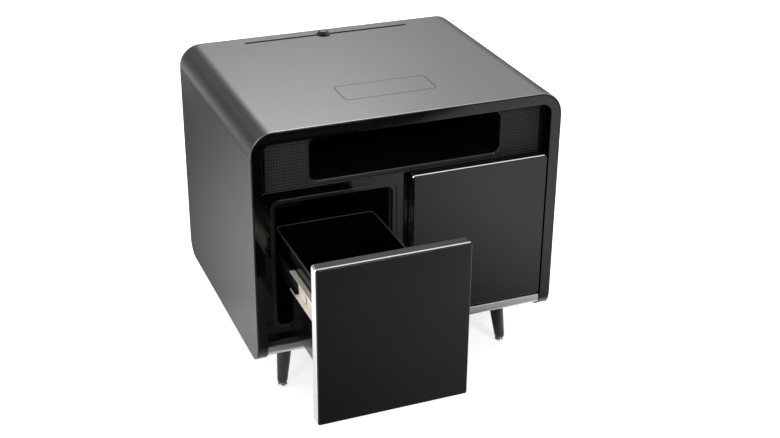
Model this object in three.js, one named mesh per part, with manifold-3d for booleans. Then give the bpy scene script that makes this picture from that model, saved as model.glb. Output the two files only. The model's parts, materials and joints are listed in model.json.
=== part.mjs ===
// Side table with a cooling drawer, a storage drawer, a speaker bay with a laptop cubby,
// a wireless charging pad and a tablet slot in its top. Millimetres, +Z up, front towards -Y.
// The origin is on the floor below the middle of the table, which stands with its cooling
// drawer pulled out.
import * as THREE from 'three';
import { mergeVertices } from 'three/addons/utils/BufferGeometryUtils.js';
import Module from 'manifold-3d';

// The cubby, the speakers beside it and the drawers below it set the width and the height of
// the case. The drawer bins and the cooling parts behind them set its depth.

// ---- Case ----
const legHeight = 123.5; // floor to underside panel
const skirtDrop = 18.3; // side panels below the underside panel
const skin = 3; // wall of the covers
const topRadius = 46; // long edges of the top cover
const skirtRadius = 35; // lower corners of the side panels, seen from the side
const rearSetback = 3; // rear cover inside the rear edge
const gap = 0.3; // between neighbouring pieces
const overrun = 10; // cutting shapes run this far past what they cut

// ---- Bezel, bottom trim and face frame ----
const bezelWidth = 18.3;
const bezelBar = 20;
const bezelOverlap = 0.5; // bezel deeper than the drawer fronts
const bezelInnerRadius = 20;
const trimSetback = 4;
const trimTop = 16; // above the underside panel
const trimDrop = 6.6; // below the underside panel
const trimRound = 12; // lower front edge
const trimTopRound = 2;
const trimWall = 3;
const faceSheet = 3;

// ---- Drawer fronts ----
const frontGap = 2; // bezel to front
const centreGap = 10.4; // front to front
const frontLow = 22; // above the underside panel
const frontHeight = 303.5;
const frontDepth = 23.5;
const frontWall = 4; // aluminium edge frame
const frontRadius = 4;
const glassThickness = 3.2; // it covers the whole front
const gasketThickness = 2.2;
const gasketWidth = 9;
const travel = 281.6; // full pull of a drawer
const middleRailShare = 0.5; // the middle rails go half as far

// ---- Speaker bay and cubby ----
const grilleReveal = 1.1; // drawer front to grille
const grilleThickness = 3.7;
const grilleBorder = 11.4; // bezel to grille at each side
const grilleTopMargin = 7.2; // grille below the inside of the top cover
const baffleThickness = 8;
const deckThickness = 8.3;
const deckNotchWidth = 120;
const deckNotchDepth = 50;
const cubbyWidth = 386;
const cubbyHeight = 86.8;
const cubbyHeadroom = 32.5; // cubby to top face
const cubbyRadius = 16;
const cubbyDepth = 337.7;
const cubbyWall = 2;
const boxSpace = 1; // cubby to speaker box
const boxDrop = 4; // top of the box below the top of the cubby
const boxSide = 6.7; // box to the inside of the case
const boxDepth = 163.4;
const boxWall = 3;
const driverEdge = 3.4; // driver to box wall, above and below
const driverSide = 13; // driver to box wall, at each side
const driverFlange = 3;
const driverFlangeLip = 3.5; // flange outside its hole
const driverBasketLip = 5; // flange outside the basket
const driverMagnetRadius = 21;
const driverDepth = 38;
const driverConeDepth = 12;
const driverCapRadius = 11;

// ---- Cooling compartment ----
const cavityFrameLip = 8;
const cavityFrameRadius = 18; // outer corners of the lip
const cavityFrameInnerRadius = 12;
const cavityFrameLeft = 2.2; // lip outside the cavity on the left
const cavityFrameRight = 6.4; // the same on the right
const cavityFrameDrop = 1.6; // lip's lower edge below the cavity's floor
const insulationBack = 19.7;
const insulationFloor = 37;
const insulationRoof = 25.3;
const modulePlateSize = 120;
const modulePlateThickness = 3;
const moduleSize = 40;
const moduleThickness = 3.9;
const moduleHeight = 170; // centre above the underside panel
const sinkSize = 100;
const sinkBase = 5;
const sinkDepth = 37.7;
const finThickness = 1.5;
const finPitch = 8;
const fanSize = 80;
const fanDepth = 20;
const fanCornerRadius = 4;
const fanRim = 1.5; // thinnest wall round the fan's bore
const fanRearSpace = 28.7; // fan to rear cover
const fanHubRadius = 14;
const fanHubDepth = 14;
const fanTipClearance = 1.5;
const fanSpoke = 3;
const fanBladeThickness = 1.6;
const fanBladeWidth = 15;
const fanBladeCount = 7;
const fanBladePitch = Math.PI / 5;

// ---- Drawer bins and slides ----
const coolingBinSide = 41.9; // edge of the front to the bin, on the left
const coolingBinInner = 41.8; // the same at the front's inner edge
const coolingBinClearance = 8.3; // bin above the cavity's lip
const coolingBinHeight = 176;
const storageBinLow = 40;
const storageBinHeight = 210;
const binDepth = 334.8;
const binRearSpace = 30.4; // shut bin to cold plate
const binWall = 2.5;
const dividerHalf = 4.7; // wall between the two drawers
const railBezelClearance = 0.9; // right slide past the bezel
const shroudWall = 3;
const railSpace = 13.8; // bin to cabinet wall, at each side
const railSheet = 1.2;
const railHeight = 181; // centre above the underside panel
const drawerRailHalf = 19;
const railBallClearance = 1.2;
const middleRailTipClearance = 1.8;
const cabinetRailTipClearance = 2.6;
const drawerRailLength = 213.2;
const middleRailLength = 250;
const cabinetRailLength = 300;
const railFrontClearance = 2.4;

// ---- Top fittings ----
const padWidth = 186;
const padDepth = 74;
const padRadius = 10;
const padFront = 98; // front of the case to the pad
const padReveal = 0.6; // slit round the pad
const padFlange = 6; // hidden rim under the cover
const padFlangeThickness = 2;
const coilOuterRadius = 32;
const coilInnerRadius = 12;
const coilThickness = 3;
const slotWidth = 8;
const slotSetback = 32; // slot centre to rear edge
const slotLeft = -178.2;
const slotRight = 181.6;
const slotBridge = 7; // slot end to knob axis
const slotTrayWall = 3;
const slotTrayDepth = 25.2;
const slotTrayFloor = 2;
const knobX = -6;
const knobRadius = 14.4;
const knobTopRadius = 8;
const knobHeight = 8;
const knobSkirt = 2.2;
const knobStemRadius = 3.5;
const knobStemLength = 11;
const knobStemClearance = 0.8;

// ---- Electronics ----
const supplyWidth = 140;
const supplyDepth = 50;
const supplyHeight = 50;
const supplySetback = 4; // from the shroud
const boardWidth = 160;
const boardHeight = 100;
const boardThickness = 1.6;
const boardLow = 120; // above the underside panel
const boardPartDepth = 12;
const boardPartSize = 28;
const boardPartPitch = 48;
const boardPartCount = 3;
const ventWidth = 90;
const ventHeight = 5;
const ventPitch = 11;
const ventCount = 8;

// ---- Mains inlet ----
const inletWidth = 27.2; // body inside the rear cover
const inletHeight = 20.2;
const inletBottom = 50; // body above the underside panel
const inletWall = 1.6; // round the socket
const inletFlangeLip = 2.4; // flange outside the body
const inletFlangeThickness = 1.6;
const inletRadius = 3; // corners of the flange and the socket
const inletSocketDepth = 17.5;
const inletFloor = 2.5; // behind the socket
const inletPinWidth = 2;
const inletPinHeight = 4;
const inletPinLength = 12.5;
const inletPinPitch = 7;
const inletPinOffset = 2; // the outer pins above the middle of the socket, the middle one below

// ---- Legs ----
const legTopRadius = 17.4;
const legFootRadius = 10.1;
const legTopSide = 82.1; // side of the case to the top of the leg
const legTopEnd = 86.2; // front or rear of the case to the top of the leg
const legFootSide = 69.4;
const legFootEnd = 74.9;
const glideHeight = 8;
const glideRadius = 10;
const glideEdge = 2;

// ---- Derived places, in the frame of the case: front at y 0, underside panel at z 0 ----
const floorTop = skin + gap;
const frontTop = frontLow + frontHeight;
const grilleLow = frontTop + grilleReveal;
const lowerTop = grilleLow - gap;
const deckTop = grilleLow + deckThickness;
const cubbyLow = deckTop + gap + cubbyWall;
const cubbyTop = cubbyLow + cubbyHeight;
const caseHeight = cubbyTop + cubbyHeadroom;
const seam = caseHeight - topRadius;
const innerTop = caseHeight - skin - gap;
const coverUnder = innerTop;

const boxLow = deckTop + gap;
const boxHeight = cubbyTop - boxDrop - boxLow;
const driverRadius = boxHeight / 2 - boxWall - driverEdge;
const boxWidth = 2 * (driverRadius + driverSide + boxWall);
const cubbyHalf = cubbyWidth / 2;
const boxInnerX = cubbyHalf + cubbyWall + boxSpace;
const innerHalf = boxInnerX + boxWidth + boxSide;
const half = innerHalf + gap + skin;
const caseWidth = half * 2;
const innerRadius = topRadius - skin - gap;
const bezelInner = innerHalf - bezelWidth;
const frontOuter = bezelInner - frontGap;
const frontInner = centreGap / 2;

const bezelDepth = frontDepth + bezelOverlap;
const gasketFront = frontDepth + gap;
const faceFront = gasketFront + gasketThickness + gap;
const faceRear = faceFront + faceSheet;
const frameRear = faceRear + gap;
const grilleFront = bezelDepth + gap;
const baffleFront = grilleFront + grilleThickness + gap;
const baffleRear = baffleFront + baffleThickness;
const bayFront = baffleRear + gap;

const coolingBinLeft = coolingBinSide - frontOuter;
const coolingBinRight = -frontInner - coolingBinInner;
const coolingCentre = (coolingBinLeft + coolingBinRight) / 2;
const cavityLeft = coolingBinLeft - railSpace;
const cavityRight = coolingBinRight + railSpace;
const cavityLow = floorTop + insulationFloor;
const cavityTop = lowerTop - insulationRoof;
const cavityRear = gasketFront + binDepth + binRearSpace + modulePlateThickness + gap;
const insulationRear = cavityRear + insulationBack;
const sinkFront = insulationRear + gap;
const fanFront = sinkFront + sinkDepth + gap;
const fanRear = fanFront + fanDepth;
const fanHalf = fanSize / 2;
const fanBoreRadius = fanHalf - fanRim;
const rearFace = fanRear + fanRearSpace;
const rearLimit = rearFace - gap;
const caseDepth = rearFace + skin + rearSetback;
const knobY = caseDepth - slotSetback;

// Across a slide, from the bin's face: the drawer's channel stands nearest, the cabinet's
// farthest, and each holds the next between its lips.
const middleRailHalf = drawerRailHalf - railSheet - gap;
const cabinetRailHalf = middleRailHalf - railSheet - gap;
const cabinetWeb = railSpace - gap - railSheet;
const middleWeb = gap + railSheet + railBallClearance;
const drawerLip = cabinetWeb - gap;
const middleLip = cabinetWeb - middleRailTipClearance;
const cabinetLip = middleWeb + railSheet + cabinetRailTipClearance;

const storageBinLeft = dividerHalf + railSpace;
const storageBinRight = bezelInner - railBezelClearance - drawerLip;
const storageWall = storageBinRight + railSpace;

// The drawer is shown open, so the middle of the whole length is in front of the case's own.
const caseFront = -(caseDepth - travel) / 2;

const arcSteps = 6; // per quarter turn of an outline arc, doubled by the curve class
const roundSteps = 24;
const fineSteps = 40;

// ---- Solids ----
const wasm = await Module();
wasm.setup();

function tidy(geometry) {
  const bare = geometry.clone();
  bare.deleteAttribute('normal');
  bare.deleteAttribute('uv');
  const merged = mergeVertices(bare);
  const index = merged.index.array;
  const kept = [];
  for (let i = 0; i < index.length; i += 3) {
    const [a, b, c] = [index[i], index[i + 1], index[i + 2]];
    if (a !== b && b !== c && c !== a) {
      kept.push(a, b, c);
    }
  }
  merged.setIndex(kept);
  return merged;
}

function toManifold(geometry) {
  const bare = tidy(geometry);
  const vertProperties = new Float32Array(bare.attributes.position.array);
  const triVerts = new Uint32Array(bare.index.array);
  return new wasm.Manifold(new wasm.Mesh({ numProp: 3, vertProperties, triVerts }));
}

function toGeometry(manifold) {
  const mesh = manifold.getMesh();
  const geometry = new THREE.BufferGeometry();
  geometry.setAttribute('position', new THREE.BufferAttribute(mesh.vertProperties, 3));
  geometry.setIndex(new THREE.BufferAttribute(mesh.triVerts, 1));
  return geometry;
}

function cut(base, ...tools) {
  let solid = toManifold(base);
  for (const tool of tools) {
    solid = solid.subtract(toManifold(tool));
  }
  return toGeometry(solid);
}

function join(...pieces) {
  const [first, ...rest] = pieces.map(toManifold);
  return toGeometry(rest.reduce((sum, piece) => sum.add(piece), first));
}

function common(a, b) {
  return toGeometry(toManifold(a).intersect(toManifold(b)));
}

function box(x0, x1, y0, y1, z0, z1) {
  const geometry = new THREE.BoxGeometry(x1 - x0, y1 - y0, z1 - z0);
  return geometry.translate((x0 + x1) / 2, (y0 + y1) / 2, (z0 + z1) / 2);
}

// An outline in x and z, pushed along y.
function prismY(shape, y0, y1) {
  const options = { depth: y1 - y0, bevelEnabled: false, curveSegments: arcSteps };
  const geometry = new THREE.ExtrudeGeometry(shape, options);
  return geometry.rotateX(Math.PI / 2).translate(0, y1, 0);
}

// An outline in y and z, pushed along x.
function prismX(shape, x0, x1) {
  const options = { depth: x1 - x0, bevelEnabled: false, curveSegments: arcSteps };
  const geometry = new THREE.ExtrudeGeometry(shape, options);
  const turn = new THREE.Matrix4().makeBasis(
    new THREE.Vector3(0, 1, 0), new THREE.Vector3(0, 0, 1), new THREE.Vector3(1, 0, 0));
  return geometry.applyMatrix4(turn).translate(x0, 0, 0);
}

// An outline in x and y, pushed along z.
function prismZ(shape, z0, z1) {
  const options = { depth: z1 - z0, bevelEnabled: false, curveSegments: arcSteps };
  return new THREE.ExtrudeGeometry(shape, options).translate(0, 0, z0);
}

function cylinderY(radius, x, z, y0, y1, steps) {
  const geometry = new THREE.CylinderGeometry(radius, radius, y1 - y0, steps);
  return geometry.translate(x, (y0 + y1) / 2, z);
}

function cylinderZ(radius, x, y, z0, z1, steps) {
  const geometry = new THREE.CylinderGeometry(radius, radius, z1 - z0, steps);
  return geometry.rotateX(Math.PI / 2).translate(x, y, (z0 + z1) / 2);
}

// A profile of [radius, height] points turned about z.
function turnedZ(points, steps) {
  const profile = points.map(([r, h]) => new THREE.Vector2(r, h));
  return new THREE.LatheGeometry(profile, steps).rotateX(Math.PI / 2);
}

function outline(points) {
  return new THREE.Shape(points.map(([a, b]) => new THREE.Vector2(a, b)));
}

function rounded(x0, x1, z0, z1, radius) {
  if (radius <= 0) {
    return outline([[x0, z0], [x1, z0], [x1, z1], [x0, z1]]);
  }
  const shape = new THREE.Shape();
  shape.moveTo(x0 + radius, z0);
  shape.lineTo(x1 - radius, z0);
  shape.absarc(x1 - radius, z0 + radius, radius, -Math.PI / 2, 0, false);
  shape.lineTo(x1, z1 - radius);
  shape.absarc(x1 - radius, z1 - radius, radius, 0, Math.PI / 2, false);
  shape.lineTo(x0 + radius, z1);
  shape.absarc(x0 + radius, z1 - radius, radius, Math.PI / 2, Math.PI, false);
  shape.lineTo(x0, z0 + radius);
  shape.absarc(x0 + radius, z0 + radius, radius, Math.PI, Math.PI * 1.5, false);
  return shape;
}

// The inside of the case seen from the front, from a height up to the top cover.
function section(low) {
  const shape = new THREE.Shape();
  shape.moveTo(-innerHalf, low);
  shape.lineTo(innerHalf, low);
  shape.lineTo(innerHalf, seam);
  shape.absarc(innerHalf - innerRadius, seam, innerRadius, 0, Math.PI / 2, false);
  shape.lineTo(innerRadius - innerHalf, innerTop);
  shape.absarc(innerRadius - innerHalf, seam, innerRadius, Math.PI / 2, Math.PI, false);
  return shape;
}

// The side panel seen from the side, pulled in by an inset at the skirt.
function sideOutline(high, inset) {
  const radius = skirtRadius - inset;
  const low = -skirtDrop + inset;
  const shape = new THREE.Shape();
  shape.moveTo(inset, high);
  shape.lineTo(inset, low + radius);
  shape.absarc(inset + radius, low + radius, radius, Math.PI, Math.PI * 1.5, false);
  shape.lineTo(caseDepth - inset - radius, low);
  shape.absarc(caseDepth - inset - radius, low + radius, radius, -Math.PI / 2, 0, false);
  shape.lineTo(caseDepth - inset, high);
  return shape;
}

function mirrored(geometry) {
  const flipped = tidy(geometry);
  flipped.scale(-1, 1, 1);
  const index = flipped.index.array;
  for (let i = 0; i < index.length; i += 3) {
    [index[i + 1], index[i + 2]] = [index[i + 2], index[i + 1]];
  }
  return flipped;
}

// ---- Materials ----
const satinGrey = [0x8a8a8a, 0.45, 0.6];
const glossBlack = [0x111111, 0.08, 0];
const mattBlack = [0x1c1c1c, 0.7, 0];
const darkGlass = [0x0a0a0a, 0.04, 0];
const aluminium = [0xe4e3e0, 0.3, 1];
const zincSteel = [0xd8d0c2, 0.35, 1];
const greySteel = [0x9a9a9a, 0.4, 1];
const mesh = [0x2a2a2a, 0.9, 0];
const foam = [0x3a3a3a, 0.9, 0];
const board = [0x7a5f44, 0.8, 0];
const rubber = [0x161616, 0.85, 0];
const copper = [0xb46a3c, 0.4, 1];
const green = [0x1f5a38, 0.6, 0];
const ceramic = [0xe8e6df, 0.6, 0];

// ---- Scene graph ----
const table = new THREE.Group();
const caseGroup = new THREE.Group();
caseGroup.position.set(0, caseFront, legHeight);
table.add(caseGroup);

const coolingDrawer = new THREE.Group();
coolingDrawer.position.y = -travel;
const coolingMiddle = new THREE.Group();
coolingMiddle.position.y = -travel * middleRailShare;
const storageDrawer = new THREE.Group();
const storageMiddle = new THREE.Group();
caseGroup.add(coolingDrawer, coolingMiddle, storageDrawer, storageMiddle);

function add(name, geometry, finish, group = caseGroup) {
  const [color, roughness, metalness] = finish;
  const material = new THREE.MeshStandardMaterial({ color, roughness, metalness });
  const piece = new THREE.Mesh(geometry, material);
  piece.name = name;
  group.add(piece);
  return piece;
}

// ---- Top cover, with the slots, the pad window and the knob's hole ----
const coverShape = new THREE.Shape();
const coverArc = half - topRadius;
const coverInnerRadius = topRadius - skin;
coverShape.moveTo(half, seam - overrun);
coverShape.lineTo(half, seam);
coverShape.absarc(coverArc, seam, topRadius, 0, Math.PI / 2, false);
coverShape.lineTo(-coverArc, caseHeight);
coverShape.absarc(-coverArc, seam, topRadius, Math.PI / 2, Math.PI, false);
coverShape.lineTo(-half, seam - overrun);
coverShape.lineTo(skin - half, seam - overrun);
coverShape.lineTo(skin - half, seam);
coverShape.absarc(-coverArc, seam, coverInnerRadius, Math.PI, Math.PI / 2, true);
coverShape.lineTo(coverArc, caseHeight - skin);
coverShape.absarc(coverArc, seam, coverInnerRadius, Math.PI / 2, 0, true);
coverShape.lineTo(half - skin, seam - overrun);

const belowSeam = box(-caseWidth, caseWidth, -overrun, caseDepth + overrun,
  -caseHeight, seam + gap / 2);
const padHalf = padWidth / 2;
const padRear = padFront + padDepth;
const padWindow = prismZ(
  rounded(-padHalf - padReveal, padHalf + padReveal, padFront - padReveal,
    padRear + padReveal, padRadius + padReveal),
  coverUnder - overrun, caseHeight + overrun);
const slotHalf = slotWidth / 2;
const slotEnds = [[slotLeft, knobX - slotBridge], [knobX + slotBridge, slotRight]];
const slotCuts = slotEnds.map(([x0, x1]) => prismZ(
  rounded(x0, x1, knobY - slotHalf, knobY + slotHalf, slotHalf - gap),
  coverUnder - overrun, caseHeight + overrun));
const stemHole = cylinderZ(knobStemRadius + knobStemClearance, knobX, knobY,
  coverUnder - overrun, caseHeight + overrun, roundSteps);
add('top_cover', cut(prismY(coverShape, 0, caseDepth), belowSeam, padWindow, ...slotCuts,
  stemHole), satinGrey);

// ---- Side panels: an outer skin with a hollow skirt below the underside panel ----
const returnStart = bezelDepth + gap;
const skirtInnerRadius = skirtRadius - skin;
const skirtHollow = new THREE.Shape();
const skirtArcZ = skirtRadius - skirtDrop;
const frontSine = (returnStart - skirtRadius) / skirtInnerRadius;
skirtHollow.moveTo(returnStart, caseHeight);
skirtHollow.absarc(skirtRadius, skirtArcZ, skirtInnerRadius,
  Math.PI + Math.acos(-frontSine), Math.PI * 1.5, false);
skirtHollow.lineTo(caseDepth - skirtRadius, skin - skirtDrop);
skirtHollow.absarc(caseDepth - skirtRadius, skirtArcZ, skirtInnerRadius, -Math.PI / 2,
  -Math.asin((skirtArcZ + gap) / skirtInnerRadius), false);
skirtHollow.lineTo(caseDepth + overrun, -gap);
skirtHollow.lineTo(caseDepth + overrun, caseHeight);

const sideTop = seam - gap / 2;
const sideBlank = prismX(sideOutline(sideTop, 0), -half, -bezelInner);
const skirtWallInner = -bezelInner - skin;
const frontClear = box(skin - half, -bezelInner + overrun, -overrun, returnStart,
  -caseHeight, caseHeight);
const hollow = prismX(skirtHollow, skin - half, skirtWallInner);
const aboveSkirt = box(skin - half, -bezelInner + overrun, -overrun, caseDepth + overrun,
  -gap, caseHeight);
const sidePanel = cut(sideBlank, frontClear, hollow, aboveSkirt);
add('left_side_panel', sidePanel, satinGrey);
add('right_side_panel', mirrored(sidePanel), satinGrey);

// ---- Bottom panel, trim, bezel and rear cover ----
add('bottom_panel', box(-innerHalf, innerHalf, returnStart, rearLimit, 0, skin), satinGrey);

const trimLow = -trimDrop;
const trimShape = new THREE.Shape();
trimShape.moveTo(bezelDepth, trimLow);
trimShape.lineTo(bezelDepth, trimLow + trimWall);
trimShape.lineTo(trimSetback + trimRound, trimLow + trimWall);
trimShape.absarc(trimSetback + trimRound, trimLow + trimRound, trimRound - trimWall,
  Math.PI * 1.5, Math.PI, true);
trimShape.lineTo(trimSetback + trimWall, trimTop - trimWall);
trimShape.lineTo(bezelDepth, trimTop - trimWall);
trimShape.lineTo(bezelDepth, trimTop);
trimShape.lineTo(trimSetback + trimTopRound, trimTop);
trimShape.absarc(trimSetback + trimTopRound, trimTop - trimTopRound, trimTopRound,
  Math.PI / 2, Math.PI, false);
trimShape.lineTo(trimSetback, trimLow + trimRound);
trimShape.absarc(trimSetback + trimRound, trimLow + trimRound, trimRound, Math.PI,
  Math.PI * 1.5, false);
add('bottom_trim', prismX(trimShape, gap - bezelInner, bezelInner - gap), satinGrey);

const bezelBlank = prismY(section(-skirtDrop), 0, bezelDepth);
const bezelBarLow = innerTop - bezelBar;
const bezelOpening = prismY(
  rounded(-bezelInner, bezelInner, -caseHeight, bezelBarLow, bezelInnerRadius),
  -overrun, bezelDepth + overrun);
const bezelSide = prismX(sideOutline(caseHeight, 0), -caseWidth, caseWidth);
add('front_bezel', common(cut(bezelBlank, bezelOpening), bezelSide), glossBlack);

const ventTools = [];
for (let i = 0; i < ventCount; i += 1) {
  const z = moduleHeight + (i - (ventCount - 1) / 2) * ventPitch;
  ventTools.push(box(coolingCentre - ventWidth / 2, coolingCentre + ventWidth / 2,
    rearFace - overrun, caseDepth + overrun, z - ventHeight / 2, z + ventHeight / 2));
}
const inletX = (storageBinLeft + storageBinRight) / 2;
const inletLeft = inletX - inletWidth / 2;
const inletRight = inletX + inletWidth / 2;
const inletTop = inletBottom + inletHeight;
const inletHole = box(inletLeft - gap, inletRight + gap, rearFace - overrun,
  caseDepth + overrun, inletBottom - gap, inletTop + gap);
add('rear_cover', cut(prismY(section(floorTop), rearFace, rearFace + skin), inletHole,
  ...ventTools), mattBlack);

// The inlet's body goes through the cover, its flange lies on it and its socket is open to the rear.
const inletSeat = rearFace + skin + gap;
const inletFace = inletSeat + inletFlangeThickness;
const socketRear = inletFace - inletSocketDepth;
const socketMiddle = (inletBottom + inletTop) / 2;
const inletShell = cut(
  join(
    prismY(rounded(inletLeft - inletFlangeLip, inletRight + inletFlangeLip,
      inletBottom - inletFlangeLip, inletTop + inletFlangeLip, inletRadius), inletSeat,
    inletFace),
    box(inletLeft, inletRight, socketRear - inletFloor, inletFace - inletFlangeThickness / 2,
      inletBottom, inletTop)),
  prismY(rounded(inletLeft + inletWall, inletRight - inletWall, inletBottom + inletWall,
    inletTop - inletWall, inletRadius), socketRear, inletFace + overrun));
const inletPins = [-1, 0, 1].map((place) => {
  const x = inletX + place * inletPinPitch;
  const z = socketMiddle + (place ? inletPinOffset : -inletPinOffset);
  return box(x - inletPinWidth / 2, x + inletPinWidth / 2, socketRear - inletFloor / 2,
    socketRear + inletPinLength, z - inletPinHeight / 2, z + inletPinHeight / 2);
});
add('power_inlet', join(inletShell, ...inletPins), mattBlack);

// ---- Face frame behind the drawer fronts, and the cooling cavity's lip ----
const ringLeft = cavityLeft - cavityFrameLeft - cavityFrameLip;
const ringRight = cavityRight + cavityFrameRight + cavityFrameLip;
const ringTop = cavityTop - gap + cavityFrameLip;
const ringLow = cavityLow - cavityFrameDrop;
const coolingBinLow = ringLow + cavityFrameLip + coolingBinClearance;
const faceBlank = box(-innerHalf, innerHalf, faceFront, faceRear, floorTop, lowerTop);
const coolingOpening = prismY(rounded(ringLeft - gap, ringRight + gap, ringLow - gap,
  ringTop + gap, cavityFrameRadius + gap), faceFront - overrun, faceRear + overrun);
const storageOpening = box(dividerHalf, storageWall, faceFront - overrun,
  faceRear + overrun, frontLow, ringTop + gap);
add('face_frame', cut(faceBlank, coolingOpening, storageOpening), mattBlack);

const ring = cut(
  prismY(rounded(ringLeft, ringRight, ringLow, ringTop, cavityFrameRadius), faceFront,
    faceRear),
  prismY(rounded(ringLeft + cavityFrameLip, ringRight - cavityFrameLip,
    ringLow + cavityFrameLip, ringTop - cavityFrameLip, cavityFrameInnerRadius),
  faceFront - overrun, faceRear + overrun));
add('cooling_cavity_frame', ring, greySteel);

// ---- Speaker bay ----
const grilleHalf = bezelInner - grilleBorder;
const grilleTop = innerTop - grilleTopMargin;
const cubbyHole = prismY(rounded(-cubbyHalf, cubbyHalf, cubbyLow, cubbyTop, cubbyRadius),
  grilleFront - overrun, bayFront + overrun);
const grilleBlank = box(-grilleHalf, grilleHalf, grilleFront, grilleFront + grilleThickness,
  grilleLow, grilleTop);
add('speaker_grille', cut(grilleBlank, cubbyHole), mesh);

const driverX = boxInnerX + boxWidth / 2;
const driverHoleRadius = driverRadius - driverFlangeLip;
const driverBasketRadius = driverRadius - driverBasketLip;
const driverZ = boxLow + boxHeight / 2;
const driverHoles = [-driverX, driverX].map((x) => cylinderY(driverHoleRadius, x, driverZ,
  baffleFront - overrun, baffleRear + overrun, roundSteps));
add('speaker_baffle', cut(prismY(section(grilleLow), baffleFront, baffleRear), cubbyHole,
  ...driverHoles), mattBlack);

const speakerBox = cut(
  box(boxInnerX, boxInnerX + boxWidth, bayFront, bayFront + boxDepth, boxLow,
    boxLow + boxHeight),
  box(boxInnerX + boxWall, boxInnerX + boxWidth - boxWall, bayFront - overrun,
    bayFront + boxDepth - boxWall, boxLow + boxWall, boxLow + boxHeight - boxWall));
add('speaker_box_right', speakerBox, mattBlack);
add('speaker_box_left', mirrored(speakerBox), mattBlack);

const driverProfile = [
  [0, -driverDepth],
  [driverMagnetRadius, -driverDepth],
  [driverMagnetRadius, -(driverDepth + driverFlange) / 2],
  [driverBasketRadius, -driverFlange],
  [driverRadius, -driverFlange],
  [driverRadius, 0],
  [driverBasketRadius, 0],
  [driverCapRadius, -driverConeDepth],
  [0, -driverConeDepth / 2],
];
for (const [side, x] of [['left', -driverX], ['right', driverX]]) {
  const driver = add(`speaker_driver_${side}`, turnedZ(driverProfile, roundSteps), mattBlack);
  driver.rotation.x = Math.PI / 2;
  driver.position.set(x, bayFront, driverZ);
}

const cubbyRear = bayFront + cubbyDepth;
add('cubby_liner', cut(
  box(-cubbyHalf - cubbyWall, cubbyHalf + cubbyWall, bayFront, cubbyRear + cubbyWall,
    cubbyLow - cubbyWall, cubbyTop + cubbyWall),
  box(-cubbyHalf, cubbyHalf, bayFront - overrun, cubbyRear, cubbyLow, cubbyTop)), mattBlack);

add('mid_deck', cut(
  box(-innerHalf, innerHalf, bayFront, rearLimit, grilleLow, deckTop),
  box(-deckNotchWidth / 2, deckNotchWidth / 2, rearLimit - deckNotchDepth,
    rearLimit + overrun, grilleLow - overrun, deckTop + overrun)), board);

// ---- Storage shroud: the wall between the drawers, a side wall and a back ----
add('storage_shroud', cut(
  box(-dividerHalf, storageWall + shroudWall, frameRear, cavityRear + shroudWall, floorTop,
    lowerTop),
  box(dividerHalf, storageWall, frameRear - overrun, cavityRear, floorTop - overrun,
    lowerTop + overrun)), board);

// ---- Cooling compartment ----
const moduleHalf = moduleSize / 2;
const moduleHole = box(coolingCentre - moduleHalf - gap, coolingCentre + moduleHalf + gap,
  cavityRear - overrun, insulationRear + overrun, moduleHeight - moduleHalf - gap,
  moduleHeight + moduleHalf + gap);
add('cooling_insulation', cut(
  box(-innerHalf, -dividerHalf - gap, frameRear, insulationRear, floorTop, lowerTop),
  box(cavityLeft, cavityRight, frameRear - overrun, cavityRear, cavityLow, cavityTop),
  moduleHole), foam);

const plateHalf = modulePlateSize / 2;
const moduleFront = insulationRear - moduleThickness;
add('cold_plate', join(
  box(coolingCentre - plateHalf, coolingCentre + plateHalf,
    cavityRear - gap - modulePlateThickness, cavityRear - gap, moduleHeight - plateHalf,
    moduleHeight + plateHalf),
  box(coolingCentre - moduleHalf, coolingCentre + moduleHalf,
    cavityRear - gap - modulePlateThickness / 2, moduleFront - gap,
    moduleHeight - moduleHalf, moduleHeight + moduleHalf)), aluminium);
add('peltier_module', box(coolingCentre - moduleHalf, coolingCentre + moduleHalf,
  moduleFront, insulationRear, moduleHeight - moduleHalf, moduleHeight + moduleHalf), ceramic);

const sinkHalf = sinkSize / 2;
const sinkPieces = [box(coolingCentre - sinkHalf, coolingCentre + sinkHalf, sinkFront,
  sinkFront + sinkBase, moduleHeight - sinkHalf, moduleHeight + sinkHalf)];
const finCount = Math.floor((sinkSize - finThickness) / finPitch) + 1;
for (let i = 0; i < finCount; i += 1) {
  const x = coolingCentre + (i - (finCount - 1) / 2) * finPitch;
  sinkPieces.push(box(x - finThickness / 2, x + finThickness / 2, sinkFront + sinkBase / 2,
    sinkFront + sinkDepth, moduleHeight - sinkHalf, moduleHeight + sinkHalf));
}
add('heat_sink', join(...sinkPieces), aluminium);

const fanBody = prismY(rounded(coolingCentre - fanHalf, coolingCentre + fanHalf,
  moduleHeight - fanHalf, moduleHeight + fanHalf, fanCornerRadius), fanFront, fanRear);
const fanBore = cylinderY(fanBoreRadius, coolingCentre, moduleHeight, fanFront - overrun,
  fanRear + overrun, fineSteps);
const spokes = [cylinderY(fanHubRadius, coolingCentre, moduleHeight, fanRear - fanSpoke,
  fanRear, roundSteps)];
const spokeReach = (fanBoreRadius + fanHalf) / 2;
for (const turn of [0, Math.PI / 2]) {
  const spoke = box(-spokeReach, spokeReach, fanRear - fanSpoke, fanRear, -fanSpoke / 2,
    fanSpoke / 2);
  spokes.push(spoke.rotateY(turn).translate(coolingCentre, 0, moduleHeight));
}
add('cooling_fan_frame', join(cut(fanBody, fanBore), ...spokes), mattBlack);

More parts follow.
